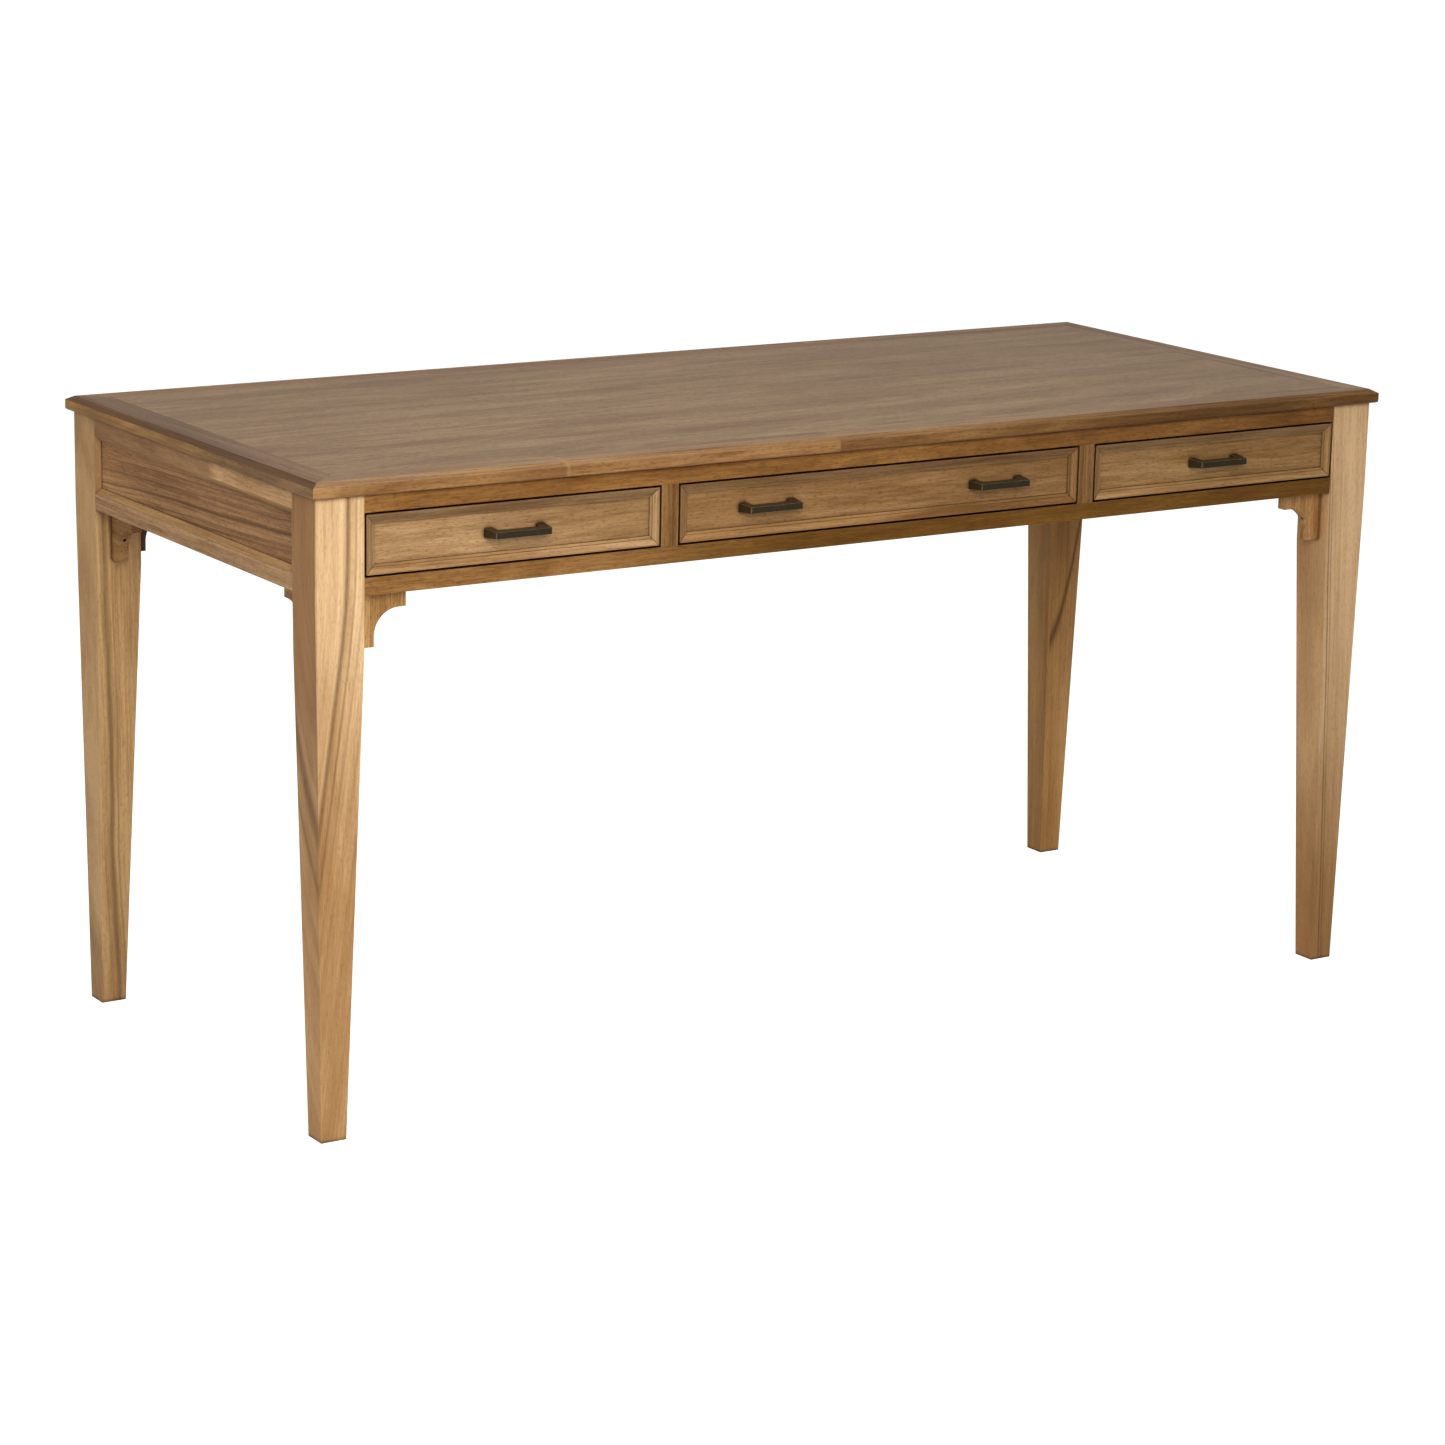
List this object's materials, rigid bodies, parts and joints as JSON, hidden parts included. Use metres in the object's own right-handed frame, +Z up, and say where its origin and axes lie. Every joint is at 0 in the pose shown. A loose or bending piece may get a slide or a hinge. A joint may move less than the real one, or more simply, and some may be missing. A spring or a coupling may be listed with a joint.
{
  "type": "writing desk",
  "caption": "Wooden writing desk with a mitred top, tapered legs, small shaped brackets under a framed apron, and wide moulded drawers that pull out on dark bronze bar handles.",
  "frame": {"origin": "on the floor, under the middle of the top", "axes": "+X to the right as seen from the front, +Y towards the back, +Z up; the drawers pull out along -Y"},
  "size_m": [1.524, 0.6705, 0.762],
  "materials": {
    "top_wood": "satin",
    "leg_wood": "satin",
    "frame_wood": "satin",
    "panel_wood": "satin",
    "inner_wood": "matte",
    "bronze": "satin, dark patina",
    "steel": "satin"
  },
  "bodies": {
    "desk_frame": {"top_field": "top_wood", "top_border_front": "top_wood", "top_border_back": "top_wood", "top_border_left": "top_wood", "top_border_right": "top_wood", "leg_front_left": "leg_wood", "leg_front_right": "leg_wood", "leg_back_left": "leg_wood", "leg_back_right": "leg_wood", "front_upper_rail": "frame_wood", "front_lower_rail": "frame_wood", "divider_left": "frame_wood", "divider_right": "frame_wood", "left_upper_rail": "frame_wood", "left_lower_rail": "frame_wood", "left_panel": "panel_wood", "left_moulding": "frame_wood", "right_upper_rail": "frame_wood", "right_lower_rail": "frame_wood", "right_panel": "panel_wood", "right_moulding": "frame_wood", "back_upper_rail": "frame_wood", "back_lower_rail": "frame_wood", "back_panel": "panel_wood", "brackets_front_left": "frame_wood", "brackets_front_right": "frame_wood", "brackets_back_left": "frame_wood", "brackets_back_right": "frame_wood", "bracket_screws": "steel", "bearers": "inner_wood", "end_runners": "inner_wood", "drawer_guides": "inner_wood", "kickers": "inner_wood", "drawer_stops": "inner_wood", "top_screws": "steel"},
    "left_drawer": {"left_drawer_front": "frame_wood", "left_drawer_moulding": "frame_wood", "left_drawer_side_outer": "inner_wood", "left_drawer_side_inner": "inner_wood", "left_drawer_back": "inner_wood", "left_drawer_bottom": "inner_wood", "left_handle": "bronze", "left_handle_bolts": "steel"},
    "centre_drawer": {"centre_drawer_front": "frame_wood", "centre_drawer_moulding": "frame_wood", "centre_drawer_side_left": "inner_wood", "centre_drawer_side_right": "inner_wood", "centre_drawer_back": "inner_wood", "centre_drawer_bottom": "inner_wood", "centre_handle_left": "bronze", "centre_handle_right": "bronze", "centre_handle_bolts": "steel"},
    "right_drawer": {"right_drawer_front": "frame_wood", "right_drawer_moulding": "frame_wood", "right_drawer_side_outer": "inner_wood", "right_drawer_side_inner": "inner_wood", "right_drawer_back": "inner_wood", "right_drawer_bottom": "inner_wood", "right_handle": "bronze", "right_handle_bolts": "steel"}
  },
  "joints": [
    {"name": "left_drawer_slide", "type": "slide", "parent": "desk_frame", "child": "left_drawer", "axis": [0, -1, 0], "range_m": [0, 0.35]},
    {"name": "centre_drawer_slide", "type": "slide", "parent": "desk_frame", "child": "centre_drawer", "axis": [0, -1, 0], "range_m": [0, 0.35]},
    {"name": "right_drawer_slide", "type": "slide", "parent": "desk_frame", "child": "right_drawer", "axis": [0, -1, 0], "range_m": [0, 0.35]}
  ]
}
